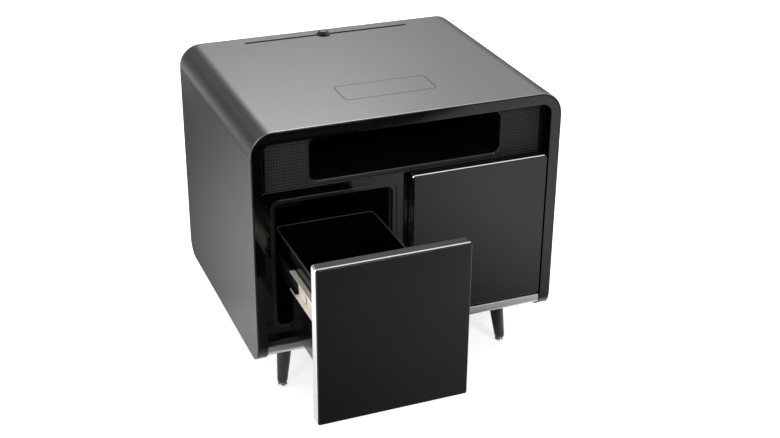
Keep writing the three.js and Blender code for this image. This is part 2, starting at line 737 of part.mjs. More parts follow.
const rotorDepth = fanHubDepth;
const bladeReach = fanBoreRadius - fanTipClearance - fanHubRadius;
const rotorPieces = [new THREE.CylinderGeometry(fanHubRadius, fanHubRadius, rotorDepth,
  roundSteps)];
for (let i = 0; i < fanBladeCount; i += 1) {
  const blade = new THREE.BoxGeometry(bladeReach * 2, fanBladeThickness, fanBladeWidth);
  blade.rotateX(fanBladePitch).translate(fanHubRadius, 0, 0);
  rotorPieces.push(blade.rotateY((i * 2 * Math.PI) / fanBladeCount));
}
const rotorTrim = new THREE.CylinderGeometry(fanBoreRadius - fanTipClearance,
  fanBoreRadius - fanTipClearance, rotorDepth, fineSteps);
const rotor = add('cooling_fan_rotor', common(join(...rotorPieces), rotorTrim), mattBlack);
rotor.position.set(coolingCentre, fanRear - fanSpoke - gap - rotorDepth / 2, moduleHeight);

// ---- Drawers ----
function drawerFront(prefix, x0, x1, group) {
  const plate = rounded(x0, x1, frontLow, frontTop, frontRadius);
  const backing = glassThickness + gap;
  const inner = box(x0 + frontWall, x1 - frontWall, -overrun, frontDepth + overrun,
    frontLow + frontWall, frontTop - frontWall);
  add(`${prefix}_front_glass`, prismY(plate, 0, glassThickness), darkGlass, group);
  add(`${prefix}_front_frame`, cut(prismY(plate, backing, frontDepth), inner), aluminium,
    group);
  const inset = frontWall + gap;
  add(`${prefix}_front_core`, box(x0 + inset, x1 - inset, backing, frontDepth,
    frontLow + inset, frontTop - inset), foam, group);
}

function drawerBin(name, x0, x1, z0, z1, group) {
  const y0 = gasketFront;
  const y1 = gasketFront + binDepth;
  add(name, cut(
    box(x0, x1, y0, y1, z0, z1),
    box(x0 + binWall, x1 - binWall, y0 + binWall, y1 - binWall, z0 + binWall,
      z1 + overrun)), mattBlack, group);
}

// A rail is a channel: a web standing away from the bin, with two lips turned one way.
function rail(binFace, away, webNear, lipReach, halfHeight, y0, y1) {
  const near = binFace + away * webNear;
  const far = binFace + away * (webNear + railSheet);
  const tip = binFace + away * lipReach;
  const lipStart = Math.abs(tip - near) > Math.abs(tip - far) ? near : far;
  const z0 = railHeight - halfHeight;
  const z1 = railHeight + halfHeight;
  const inner = lipStart === near ? far : near;
  const shape = outline([
    [lipStart, z0], [tip, z0], [tip, z0 + railSheet], [inner, z0 + railSheet],
    [inner, z1 - railSheet], [tip, z1 - railSheet], [tip, z1], [lipStart, z1],
  ]);
  return prismY(shape, y0, y1);
}

const cabinetRailFront = frameRear + gap + gap;
const middleRailFront = frameRear + railFrontClearance;

function drawerRails(prefix, left, right, drawer, middle) {
  for (const [side, face, away] of [['left', left, -1], ['right', right, 1]]) {
    add(`${prefix}_drawer_rail_${side}`, rail(face, away, gap, drawerLip, drawerRailHalf,
      gasketFront, gasketFront + drawerRailLength), zincSteel, drawer);
    add(`${prefix}_middle_rail_${side}`, rail(face, away, middleWeb, middleLip,
      middleRailHalf, middleRailFront, middleRailFront + middleRailLength), zincSteel, middle);
    add(`${prefix}_cabinet_rail_${side}`, rail(face, away, cabinetWeb, cabinetLip,
      cabinetRailHalf, cabinetRailFront, cabinetRailFront + cabinetRailLength), zincSteel);
  }
}

drawerFront('cooling', -frontOuter, -frontInner, coolingDrawer);
drawerBin('cooling_bin', coolingBinLeft, coolingBinRight, coolingBinLow,
  coolingBinLow + coolingBinHeight, coolingDrawer);
drawerRails('cooling', coolingBinLeft, coolingBinRight, coolingDrawer, coolingMiddle);

const gasketRear = gasketFront + gasketThickness;
const gasket = cut(
  prismY(rounded(ringLeft, ringRight, ringLow, ringTop, cavityFrameRadius), gasketFront,
    gasketRear),
  prismY(rounded(ringLeft + gasketWidth, ringRight - gasketWidth, ringLow + gasketWidth,
    ringTop - gasketWidth, cavityFrameRadius - gasketWidth), gasketFront - overrun,
  gasketRear + overrun));
add('cooling_gasket', gasket, rubber, coolingDrawer);

drawerFront('storage', frontInner, frontOuter, storageDrawer);
drawerBin('storage_bin', storageBinLeft, storageBinRight, storageBinLow,
  storageBinLow + storageBinHeight, storageDrawer);
drawerRails('storage', storageBinLeft, storageBinRight, storageDrawer, storageMiddle);

// ---- Top fittings ----
const padPlate = prismZ(rounded(-padHalf, padHalf, padFront, padRear, padRadius),
  coverUnder - padFlangeThickness / 2, caseHeight);
const padRim = prismZ(rounded(-padHalf - padFlange, padHalf + padFlange,
  padFront - padFlange, padRear + padFlange, padRadius), coverUnder - padFlangeThickness,
  coverUnder);
add('charging_pad', join(padPlate, padRim), satinGrey);

const coilTop = coverUnder - padFlangeThickness - gap;
const coil = add('charging_coil', turnedZ([
  [coilInnerRadius, 0],
  [coilOuterRadius, 0],
  [coilOuterRadius, coilThickness],
  [coilInnerRadius, coilThickness],
  [coilInnerRadius, 0],
], roundSteps), copper);
coil.position.set(0, (padFront + padRear) / 2, coilTop - coilThickness);

const trayHalf = slotHalf + slotTrayWall;
const trayLow = coverUnder - slotTrayDepth;
const trayPockets = slotEnds.map(([x0, x1]) => box(x0, x1, knobY - slotHalf,
  knobY + slotHalf, trayLow + slotTrayFloor, coverUnder + overrun));
const stemPocket = cylinderZ(knobStemRadius + knobStemClearance, knobX, knobY,
  trayLow + slotTrayFloor, coverUnder + overrun, roundSteps);
add('tablet_tray', cut(box(slotLeft - slotTrayWall, slotRight + slotTrayWall,
  knobY - trayHalf, knobY + trayHalf, trayLow, coverUnder), ...trayPockets, stemPocket),
mattBlack);

const knobBase = caseHeight + gap;
const knob = add('control_knob', turnedZ([
  [0, -knobStemLength],
  [knobStemRadius, -knobStemLength],
  [knobStemRadius, 0],
  [knobRadius, 0],
  [knobRadius, knobSkirt],
  [(knobRadius * 3 + knobTopRadius) / 4, (knobSkirt + knobHeight) / 2],
  [(knobRadius + knobTopRadius) / 2, (knobSkirt + knobHeight * 3) / 4],
  [knobTopRadius, knobHeight],
  [0, knobHeight],
], fineSteps), glossBlack);
knob.position.set(knobX, knobY, knobBase);

// ---- Electronics behind the storage drawer ----
const shroudRear = cavityRear + shroudWall;
const storageCentre = (storageBinLeft + storageBinRight) / 2;
add('power_supply', box(storageCentre - supplyWidth / 2, storageCentre + supplyWidth / 2,
  shroudRear + supplySetback, shroudRear + supplySetback + supplyDepth, floorTop,
  floorTop + supplyHeight), greySteel);

const boardFront = shroudRear + gap;
const boardPieces = [box(storageCentre - boardWidth / 2, storageCentre + boardWidth / 2,
  boardFront, boardFront + boardThickness, boardLow, boardLow + boardHeight)];
for (let i = 0; i < boardPartCount; i += 1) {
  const x = storageCentre + (i - (boardPartCount - 1) / 2) * boardPartPitch;
  const z = boardLow + boardHeight / 2;
  boardPieces.push(box(x - boardPartSize / 2, x + boardPartSize / 2,
    boardFront + boardThickness / 2, boardFront + boardThickness + boardPartDepth,
    z - boardPartSize / 2, z + boardPartSize / 2));
}
add('control_board', join(...boardPieces), green);

// ---- Legs, splayed outwards, and their glides ----
const legTop = -gap;
const legFoot = glideHeight + gap - legHeight;
const legCentreY = caseDepth / 2;

function leg(sideSign, endSign) {
  const topX = half - legTopSide;
  const topY = legCentreY - legTopEnd;
  const footX = half - legFootSide;
  const footY = legCentreY - legFootEnd;
  const length = legTop - legFoot;
  const geometry = new THREE.CylinderGeometry(legTopRadius, legFootRadius, length, roundSteps);
  geometry.rotateX(Math.PI / 2);
  const place = geometry.attributes.position;
  for (let i = 0; i < place.count; i += 1) {
    const share = 0.5 - place.getZ(i) / length;
    place.setX(i, place.getX(i) + sideSign * (topX + (footX - topX) * share));
    place.setY(i, place.getY(i) + endSign * (topY + (footY - topY) * share));
  }
  return geometry;
}

const corners = [
  ['front_left', -1, -1],
  ['front_right', 1, -1],
  ['rear_left', -1, 1],
  ['rear_right', 1, 1],
];
for (const [corner, sideSign, endSign] of corners) {
  const piece = add(`leg_${corner}`, leg(sideSign, endSign), glossBlack);
  piece.position.set(0, legCentreY, (legTop + legFoot) / 2);
  const glide = add(`glide_${corner}`, turnedZ([
    [0, 0],
    [glideRadius - glideEdge, 0],
    [glideRadius, glideEdge],
    [glideRadius, glideHeight],
    [0, glideHeight],
  ], roundSteps), greySteel);
  glide.position.set(sideSign * (half - legFootSide),
    legCentreY + endSign * (legCentreY - legFootEnd), -legHeight);
}

export default table;
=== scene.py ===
"""Smart side table with a cooling drawer: materials, fine detail, studio and camera."""

import json
from math import cos, pi, radians, sin

import bmesh
import bpy
from mathutils import Matrix, Vector

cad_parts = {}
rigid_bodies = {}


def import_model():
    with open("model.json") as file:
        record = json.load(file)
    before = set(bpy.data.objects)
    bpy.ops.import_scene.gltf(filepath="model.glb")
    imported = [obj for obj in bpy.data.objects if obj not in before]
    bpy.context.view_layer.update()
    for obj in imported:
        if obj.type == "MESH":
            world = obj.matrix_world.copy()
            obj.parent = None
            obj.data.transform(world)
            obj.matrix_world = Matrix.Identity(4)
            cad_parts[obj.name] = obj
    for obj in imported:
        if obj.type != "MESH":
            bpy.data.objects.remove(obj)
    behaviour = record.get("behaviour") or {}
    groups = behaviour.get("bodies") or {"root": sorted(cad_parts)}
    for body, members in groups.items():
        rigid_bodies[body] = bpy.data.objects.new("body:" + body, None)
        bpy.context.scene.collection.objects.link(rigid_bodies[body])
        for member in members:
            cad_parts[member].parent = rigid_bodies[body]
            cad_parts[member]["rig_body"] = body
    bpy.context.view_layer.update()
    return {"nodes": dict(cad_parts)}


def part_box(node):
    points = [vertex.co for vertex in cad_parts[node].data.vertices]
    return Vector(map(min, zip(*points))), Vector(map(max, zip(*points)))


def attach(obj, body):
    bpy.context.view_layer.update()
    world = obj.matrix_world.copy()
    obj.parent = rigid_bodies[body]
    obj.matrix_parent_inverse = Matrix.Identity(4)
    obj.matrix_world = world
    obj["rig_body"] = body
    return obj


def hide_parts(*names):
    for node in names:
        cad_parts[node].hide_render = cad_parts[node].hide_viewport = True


MM = 0.001  # shapes are drawn in millimetres and made in metres
TOUCH = 0.01  # places this near to each other, in millimetres, are the same place
MERGE = 0.002  # vertices this near to each other, in millimetres, become one

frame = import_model()
nodes = frame["nodes"]


def ends(name):
    """The lowest and highest corners of a CAD node, in millimetres."""
    low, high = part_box(name)
    return Vector(low) / MM, Vector(high) / MM


# ---- Camera ----

CAMERA_PLACE = (-0.897909, -2.21333, 1.495606)  # metres
CAMERA_AZIMUTH, CAMERA_DROP, CAMERA_ROLL = (radians(a) for a in (22.148, 26.383, 0.554))
SENSOR, LENS = 36, 62.166  # the sensor's width and the focal length


def add_camera():
    ahead = Vector((
        sin(CAMERA_AZIMUTH) * cos(CAMERA_DROP),
        cos(CAMERA_AZIMUTH) * cos(CAMERA_DROP),
        -sin(CAMERA_DROP),
    ))
    across = ahead.cross(Vector((0, 0, 1))).normalized()
    above = across.cross(ahead)
    right = cos(CAMERA_ROLL) * across + sin(CAMERA_ROLL) * above
    up = -sin(CAMERA_ROLL) * across + cos(CAMERA_ROLL) * above
    data = bpy.data.cameras.new("camera")
    data.sensor_width = SENSOR
    data.lens = LENS
    camera = bpy.data.objects.new("camera", data)
    bpy.context.scene.collection.objects.link(camera)
    turn = Matrix((right, up, -ahead)).transposed().to_4x4()
    camera.matrix_world = Matrix.Translation(CAMERA_PLACE) @ turn
    bpy.context.scene.camera = camera


add_camera()


# ---- Materials ----


def linear(colour):
    """A #rrggbb colour as the linear values that a shader takes."""
    parts = (int(colour[i : i + 2], 16) / 255 for i in (1, 3, 5))
    return (*(p / 12.92 if p <= 0.04045 else ((p + 0.055) / 1.055) ** 2.4 for p in parts), 1)


def node(tree, kind, inputs=None, **settings):
    """Adds a node with its settings; an input is a value or another node's output."""
    made = tree.nodes.new("ShaderNode" + kind)
    for name, value in settings.items():
        setattr(made, name, value)
    for name, value in (inputs or {}).items():
        if isinstance(value, bpy.types.NodeSocket):
            tree.links.new(value, made.inputs[name])
        else:
            made.inputs[name].default_value = value
    return made


def start(name, **sockets):
    """A new material: its tree, its shader and its Object coordinates in millimetres."""
    made = bpy.data.materials.new(name)
    made.use_nodes = True
    tree = made.node_tree
    shader = tree.nodes["Principled BSDF"]
    for socket, value in sockets.items():
        shader.inputs[socket.replace("_", " ")].default_value = value
    place = node(tree, "TexCoord").outputs["Object"]
    scale = node(tree, "VectorMath", {0: place, 1: (1 / MM,) * 3}, operation="MULTIPLY")
    return made, tree, shader, scale.outputs[0]


def ramp(tree, value, *stops):
    """Colours or greys along a value from 0 to 1."""
    made = node(tree, "ValToRGB", {"Fac": value})
    elements = made.color_ramp.elements
    while len(elements) < len(stops):
        elements.new(0.5)
    for element, (place, colour) in zip(elements, stops):
        element.position = place
        element.color = linear(colour) if isinstance(colour, str) else (colour, colour, colour, 1)
    return made.outputs["Color"]


def surface(name, tones, rough, grain, bump, stretch=(1, 1, 1), detail=4, **sockets):
    """A finish with one grain: tones are its two colours, rough its two roughnesses,
    grain the size of its marks and bump their height, both in millimetres. A broad, faint
    cloudiness lies over the grain."""
    made, tree, shader, place = start(name, **sockets)
    clouds = 90  # millimetres
    drawn = node(tree, "Mapping", {0: place, "Scale": stretch}).outputs[0]
    noise = node(tree, "TexNoise", {"Vector": drawn, "Scale": 1 / grain, "Detail": detail,
                                    "Roughness": 0.6}).outputs["Fac"]
    broad = node(tree, "TexNoise", {"Vector": place, "Scale": 1 / clouds,
                                    "Detail": 2}).outputs["Fac"]
    both = node(tree, "Mix", {0: 0.45, 2: noise, 3: broad}).outputs[0]
    tree.links.new(ramp(tree, both, (0.3, tones[0]), (0.7, tones[1])), shader.inputs["Base Color"])
    tree.links.new(ramp(tree, both, (0.3, rough[0]), (0.7, rough[1])), shader.inputs["Roughness"])
    raised = node(tree, "Bump", {"Height": noise, "Distance": bump * MM, "Strength": 1})
    tree.links.new(raised.outputs[0], shader.inputs["Normal"])
    return made


def speaker_cloth():
    """Woven polyester speaker cloth: a grid of dark grey dots, dull, with black pores. Real
    rows are about 1.1 mm apart. They are drawn at 6.2 mm, and the threads across them at
    5.4 mm, because finer ones don't show in the render."""
    made, tree, shader, place = start("woven_polyester", Roughness=0.6, Specular_IOR_Level=0.42)
    axes = node(tree, "SeparateXYZ", {0: place})
    ribs = []
    for axis, pitch in (("Z", 6.2), ("X", 5.4)):
        along = node(tree, "Math", {0: axes.outputs[axis], 1: pi / pitch}, operation="MULTIPLY")
        wave = node(tree, "Math", {0: along.outputs[0]}, operation="SINE")
        ribs.append(node(tree, "Math", {0: wave.outputs[0]}, operation="ABSOLUTE").outputs[0])
    weave = node(tree, "Math", {0: ribs[0], 1: ribs[1]}, operation="MULTIPLY")
    uneven = node(tree, "TexNoise", {"Vector": place, "Scale": 1 / 5, "Detail": 3}).outputs["Fac"]
    height = node(tree, "Mix", {0: 0.25, 2: weave.outputs[0], 3: uneven}).outputs[0]
    tree.links.new(ramp(tree, height, (0.25, "#020202"), (0.7, "#2c2c2c")),
                   shader.inputs["Base Color"])
    raised = node(tree, "Bump", {"Height": height, "Distance": 0.9 * MM, "Strength": 1})
    tree.links.new(raised.outputs[0], shader.inputs["Normal"])
    return made


def foam():
    """Expanded polystyrene: white beads about 3 mm across, pressed together."""
    made, tree, shader, place = start("expanded_polystyrene", Roughness=0.7)
    bead = 3
    beads = node(tree, "TexVoronoi", {"Vector": place, "Scale": 1 / bead}).outputs["Distance"]
    tree.links.new(ramp(tree, beads, (0.2, "#e9e7e0"), (0.75, "#c9c6bd")),
                   shader.inputs["Base Color"])
    raised = node(tree, "Bump", {"Height": beads, "Distance": 0.3 * MM, "Strength": 1},
                  invert=True)
    tree.links.new(raised.outputs[0], shader.inputs["Normal"])
    return made


def circuit():
    """Green solder mask over copper tracks: glossy, with lighter tracks between blocks about
    4 mm wide."""
    made, tree, shader, place = start("solder_mask", Roughness=0.35)
    flat = node(tree, "Mapping", {0: place, "Rotation": (pi / 2, 0, 0)}).outputs[0]
    tracks = node(tree, "TexBrick", {"Vector": flat, "Scale": 0.12, "Mortar Size": 0.05,
                                     "Color1": (0, 0, 0, 1), "Color2": (0.3, 0.3, 0.3, 1),
                                     "Mortar": (1, 1, 1, 1)}).outputs["Color"]
    tree.links.new(ramp(tree, tracks, (0.1, "#0d4a26"), (0.9, "#1c7a42")),
                   shader.inputs["Base Color"])
    return made


def winding():
    """Enamelled copper wire wound flat: turns 1.5 mm apart round the coil's middle."""
    made, tree, shader, place = start("enamelled_copper", Metallic=1.0)
    low, high = ends("charging_coil")
    middle = (low + high) / 2
    pitch, rings_per_unit = 1.5, 3.2  # the texture has this many rings in a unit at scale 1
    centred = node(tree, "VectorMath", {0: place, 1: middle}, operation="SUBTRACT").outputs[0]
    rings = node(tree, "TexWave", {"Vector": centred, "Scale": 1 / pitch / rings_per_unit,
                                    "Distortion": 0.2},
                 wave_type="RINGS", rings_direction="Z").outputs["Fac"]
    tree.links.new(ramp(tree, rings, (0.1, "#6b3a1c"), (0.7, "#c8793d")),
                   shader.inputs["Base Color"])
    tree.links.new(ramp(tree, rings, (0.0, 0.5), (1.0, 0.25)), shader.inputs["Roughness"])
    raised = node(tree, "Bump", {"Height": rings, "Distance": 0.6 * MM, "Strength": 1})
    tree.links.new(raised.outputs[0], shader.inputs["Normal"])
    return made


FINISHES = {
    # Graphite powder coat on sheet steel: dark and satin, its gloss broken by fine orange peel.
    "satin_cover": surface("satin_powder_coat", ("#28282a", "#303032"), (0.33, 0.39), 1.2, 0.004),
    # Anodised aluminium strip along the lower edge: bright grey, brushed along its length.
    "satin_trim": surface("satin_anodised_aluminium", ("#bfc0c2", "#cdced0"), (0.16, 0.22), 0.5,
                          0.003, stretch=(0.04, 1, 1), Metallic=0.85),
    # High gloss black ABS: mirror-smooth, with the faint waviness of moulding.
    "gloss_bezel": surface("gloss_abs", ("#050505", "#070707"), (0.05, 0.09), 30, 0.004),
    # Black ABS with a fine spark-eroded texture: matt, nearly as dark in light as in shade.
    "black_plastic": surface("textured_abs", ("#050505", "#0a0a0a"), (0.4, 0.52), 0.8, 0.012,
                             Specular_IOR_Level=0.2),
    # Dark grey ABS, half gloss: its edges catch a soft light.
    "grey_lip": surface("half_gloss_abs", ("#161617", "#1e1e1f"), (0.2, 0.28), 1.0, 0.004),
    "speaker_cloth": speaker_cloth(),
    # Medium-density fibreboard with a black melamine face, faintly pebbled.
    "fibreboard": surface("melamine_board", ("#121212", "#191919"), (0.45, 0.6), 1.5, 0.02),
    "insulation": foam(),
    # Extruded aluminium: bare silvery metal, with die lines along its length.
    "aluminium": surface("extruded_aluminium", ("#b4b6b8", "#cfd1d3"), (0.28, 0.4), 0.8, 0.01,
                         stretch=(1, 0.05, 1), Metallic=1.0),
    # Bright anodised aluminium, polished: almost a mirror, with faint drawing marks.
    "edge_aluminium": surface("bright_anodised_aluminium", ("#d8d8d8", "#e8e8e8"), (0.1, 0.16),
                              0.6, 0.001, stretch=(0.1, 1, 0.1), Metallic=1.0),
    # Alumina ceramic: matt and white.
    "white_ceramic": surface("alumina", ("#e2e0dc", "#efedea"), (0.5, 0.6), 0.6, 0.004),
    # Tempered glass painted black on its back: flat and glossy, with a soft sheen.
    "black_glass": surface("back_painted_glass", ("#060606", "#080808"), (0.16, 0.2), 60, 0.001),
    # EPDM rubber: dull black, with a bloom of talc.
    "seal_rubber": surface("epdm_rubber", ("#131313", "#1f1f1f"), (0.6, 0.75), 0.9, 0.01),
    # Zinc plate on rolled steel, passivated: pale, cloudy and warm, with drawn marks.
    "zinc_steel": surface("zinc_plated_steel", ("#efe6d6", "#fffaf0"), (0.3, 0.42), 1.4, 0.006,
                          stretch=(1, 0.08, 1), Metallic=0.25),
    # Galvanised steel sheet: bare grey metal with a broad spangle.
    "grey_steel": surface("galvanised_steel", ("#8f9294", "#b3b6b8"), (0.3, 0.45), 9, 0.003,
                          detail=1, Metallic=1.0),
    # Copper wire in glossy turns, and green solder mask: see where they are made.
    "copper_wire": winding(),
    "circuit_board": circuit(),
    # Black lacquered beech turned on a lathe: satin, grain nearly filled.
    "leg_black": surface("black_lacquer", ("#1c1c1c", "#262626"), (0.28, 0.36), 1.6, 0.01,
                         stretch=(1, 1, 0.1)),
    # Chrome plate: mirror bright.
    "glide_chrome": surface("chrome_plate", ("#d9dadc", "#eceded"), (0.06, 0.12), 8, 0.001,
                            Metallic=1.0),
}
# The ground edge of the glass, painted black: matt, so that it shows as a dark line.
GLASS_EDGE = surface("black_glass_edge", ("#030303", "#060606"), (0.7, 0.8), 0.5, 0.01,
                     Specular_IOR_Level=0.1)
# Thermoplastic rubber, soft to the touch: dark grey and even.
SOFT_GRIP = surface("soft_touch_rubber", ("#141414", "#1a1a1a"), (0.5, 0.6), 0.7, 0.01,
                    Specular_IOR_Level=0.15)
# Painted shade in the seams and gaps: dead matt black, standing in for the shadow in each gap.
PAINTED_GAP_SHADE = surface("painted_gap_shade", ("#040404", "#0a0a0a"), (0.85, 0.95), 0.5, 0.03,
                    Specular_IOR_Level=0.05)
# Polystyrene formed in a polished mould: black, with a soft gloss.
POLISHED_BIN = surface("polished_polystyrene", ("#050505", "#080808"), (0.1, 0.16), 20, 0.003)
# Painted highlight along the bin's rolled rim: paler and satin, a thin light line.
PAINTED_RIM_HIGHLIGHT = surface("painted_rim_highlight", ("#3a3a3a", "#484848"), (0.25, 0.35), 1.5, 0.003)
# Painted highlight on the front arris of the sheet metal: bare bright metal, a thin bright line.
PAINTED_ARRIS_HIGHLIGHT = surface("painted_arris_highlight", ("#88898b", "#98999b"), (0.3, 0.4), 0.8, 0.002, Metallic=1.0)
# Black oxide on steel screws: dark, with a little sheen. On the slide channels the same black
# is painted shade, standing in for zinc in the case's shadow.
BLACK_OXIDE_AND_PAINTED_SHADE = surface("black_oxide_and_painted_shade", ("#17181a", "#232427"), (0.35, 0.45), 0.7, 0.004,
                      Metallic=0.6)
# Moulded nylon: off-white and waxy.
NYLON = surface("moulded_nylon", ("#cfcabf", "#dedad0"), (0.4, 0.5), 1.2, 0.01)


# ---- Shapes ----


def block(mesh, low, high):
    """Adds a box between two corners and returns its vertices."""
    made = bmesh.ops.create_cube(mesh, size=1)["verts"]
    low, high = Vector(low), Vector(high)
    bmesh.ops.scale(mesh, vec=high - low, verts=made)
    bmesh.ops.translate(mesh, vec=(low + high) / 2, verts=made)
    return made


def edges_along(verts, axis):
    """The edges of some vertices that run along X, Y or Z (0, 1 or 2)."""
    found = {e for v in verts for e in v.link_edges}
    return [e for e in found if all(
        abs(e.verts[0].co[i] - e.verts[1].co[i]) < TOUCH for i in range(3) if i != axis)]


def bevel(mesh, edges, size, segments):
    return bmesh.ops.bevel(mesh, geom=edges, offset=size, offset_type="OFFSET", profile=0.5,
                           segments=segments, affect="EDGES", material=-1, clamp_overlap=True)


def sharp(mesh):
    """The edges that turn by more than 35 degrees."""
    return [e for e in mesh.edges if len(e.link_faces) == 2
            and e.calc_face_angle(0) > radians(35)]


def soften(mesh, size, segments=2):
    bevel(mesh, sharp(mesh), size, segments)


def rounded_block(mesh, low, high, radius, edge):
    """Adds a box with its four edges along X rounded and its other edges softened."""
    made = block(mesh, low, high)
    rounded = bevel(mesh, edges_along(made, 0), radius, 4)
    faces = {f for v in rounded["verts"] for f in v.link_faces}
    caps = [f for f in faces if abs(f.normal.x) > 0.9]
    bevel(mesh, list({e for f in caps for e in f.edges}), edge, 3)


def sliced(mesh, place, facing):
    """Adds edges to a mesh where a plane cuts it."""
    bmesh.ops.bisect_plane(mesh, geom=mesh.verts[:] + mesh.edges[:] + mesh.faces[:],
                           plane_co=place, plane_no=facing)


def carry(mesh, edges, move=(0, 0, 0), centre=(0, 0, 0), axis=(0, 0, 1), angle=0.0, steps=1):
    """Draws edges out along a move or round an arc and returns the edges at the far end."""
    made = bmesh.ops.spin(mesh, geom=edges, cent=centre, axis=axis, dvec=move, angle=angle,
                          steps=steps, use_duplicate=False)["geom_last"]
    return [g for g in made if isinstance(g, bmesh.types.BMEdge)]


def joined(mesh):
    """Merges vertices that coincide, and turns all faces outwards."""
    bmesh.ops.remove_doubles(mesh, verts=mesh.verts, dist=MERGE)
    bmesh.ops.recalc_face_normals(mesh, faces=mesh.faces)


def drawn_loop(mesh, points, closed=True):
    """A chain of edges through a few points."""
    row = [mesh.verts.new(point) for point in points]
    ahead = row[1:] + row[:1] if closed else row[1:]
    return [mesh.edges.new(pair) for pair in zip(row, ahead)]


def around(mesh, profile, x0, x1, z0, z1, radius):
    """Carries a closed profile round an upright rectangle with rounded corners. A point of
    the profile is how far outside the rectangle it lies, and its place along Y."""
    wide, tall = x1 - x0 - 2 * radius, z1 - z0 - 2 * radius
    edges = drawn_loop(mesh, [(x0 + radius, y, z0 - out) for out, y in profile])
    for move, centre in (((wide, 0, 0), (x1 - radius, 0, z0 + radius)),
                         ((0, 0, tall), (x1 - radius, 0, z1 - radius)),
                         ((-wide, 0, 0), (x0 + radius, 0, z1 - radius)),
                         ((0, 0, -tall), (x0 + radius, 0, z0 + radius))):
        edges = carry(mesh, edges, move=move)
        edges = carry(mesh, edges, centre=centre, axis=(0, -1, 0), angle=pi / 2, steps=8)
    joined(mesh)


def turned(mesh, profile, place, steps=40):
    """A solid turned on an upright axis. A point of the profile is its radius and its height."""
    edges = drawn_loop(mesh, [(place[0] + r, place[1], place[2] + z) for r, z in profile], False)
    bmesh.ops.spin(mesh, geom=edges, cent=place, axis=(0, 0, 1), angle=2 * pi, steps=steps,
                   use_merge=True)
    joined(mesh)


def stacked(mesh, low, high, axis, radius, layers):
    """A solid through rounded rectangles, one after another along Y or Z (1 or 2). A layer is
    its place along the axis and how far inside the outline it lies."""
    size, middle = high - low, (low + high) / 2
    middle[axis] = layers[0][0]
    made = bmesh.ops.create_grid(mesh, x_segments=1, y_segments=1, size=0.5)["verts"]
    if axis == 1:
        bmesh.ops.rotate(mesh, matrix=Matrix.Rotation(pi / 2, 3, "X"), verts=made)
    bmesh.ops.scale(mesh, vec=size, verts=made)
    bmesh.ops.translate(mesh, vec=middle, verts=made)
    bmesh.ops.bevel(mesh, geom=made, offset=radius, offset_type="OFFSET", segments=6,
                    profile=0.5, affect="VERTICES", material=-1)
    edges = list(mesh.edges)
    for i, (place, inset) in enumerate(layers):
        move = Vector((0, 0, 0))
        move[axis] = place - edges[0].verts[0].co[axis]
        if i:
            edges = carry(mesh, edges, move=move)
        ring = list({v for e in edges for v in e.verts})
        draw = Vector((1, 1, 1))
        for way in {0, 1, 2} - {axis}:
            draw[way] = (size[way] / 2 - inset) / (max(v.co[way] for v in ring) - middle[way])
        bmesh.ops.scale(mesh, vec=draw, verts=ring, space=Matrix.Translation(-middle))
    bmesh.ops.contextual_create(mesh, geom=edges)
    joined(mesh)


def tower(mesh, rings):
    """A solid through level circles. A ring is its centre and its radius, from below."""
    centre, radius = rings[0]
    made = bmesh.ops.create_circle(mesh, cap_ends=True, radius=radius, segments=36)
    bmesh.ops.translate(mesh, vec=centre, verts=made["verts"])
    edges = list({e for v in made["verts"] for e in v.link_edges})
    for here, size in rings[1:]:
        edges = carry(mesh, edges, move=Vector(here) - Vector(centre))
        ring = list({v for e in edges for v in e.verts})
        bmesh.ops.scale(mesh, vec=(size / radius, size / radius, 1), verts=ring,
                        space=Matrix.Translation(-Vector(here)))
        centre, radius = here, size
    bmesh.ops.contextual_create(mesh, geom=edges)
    joined(mesh)


# ---- Making pieces ----


def piece(name, mesh, body, slot, finish=None, stands_for=(), smooth=40):
    """A finished piece from a mesh in millimetres: its shading, finish, body and nodes."""
    bmesh.ops.scale(mesh, vec=(MM, MM, MM), verts=mesh.verts)
    data = bpy.data.meshes.new(name)
    mesh.to_mesh(data)
    mesh.free()
    data.shade_smooth()
    data.set_sharp_from_angle(angle=radians(smooth))
    made = bpy.data.objects.new(name, data)
    bpy.context.scene.collection.objects.link(made)
    for material in finish or [FINISHES[slot]]:
        data.materials.append(material)
    even = made.modifiers.new("even_shading", "WEIGHTED_NORMAL")
    even.keep_sharp = True
    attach(made, body)
    if stands_for:
        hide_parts(*stands_for)


def merged_copy(name):
    """The mesh of a CAD node in millimetres, with its triangles joined up into flat faces."""
    mesh = bmesh.new()
    mesh.from_mesh(nodes[name].data)
    bmesh.ops.scale(mesh, vec=(1 / MM, 1 / MM, 1 / MM), verts=mesh.verts)
    bmesh.ops.remove_doubles(mesh, verts=mesh.verts, dist=MERGE)
    bmesh.ops.dissolve_limit(mesh, angle_limit=radians(0.5), verts=mesh.verts, edges=mesh.edges)
    return mesh


def stand_in(name, mesh, finish=None, smooth=40):
    """A finished piece in the place of a CAD node, on its body and with its slot."""
    piece(name + "_finished", mesh, nodes[name]["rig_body"], slot_of[name], finish, [name], smooth)


def softened(name, size, segments=2, finish=None):
    """Replaces a CAD node by the same shape with its edges rounded."""
    mesh = merged_copy(name)
    soften(mesh, size, segments)
    stand_in(name, mesh, finish)


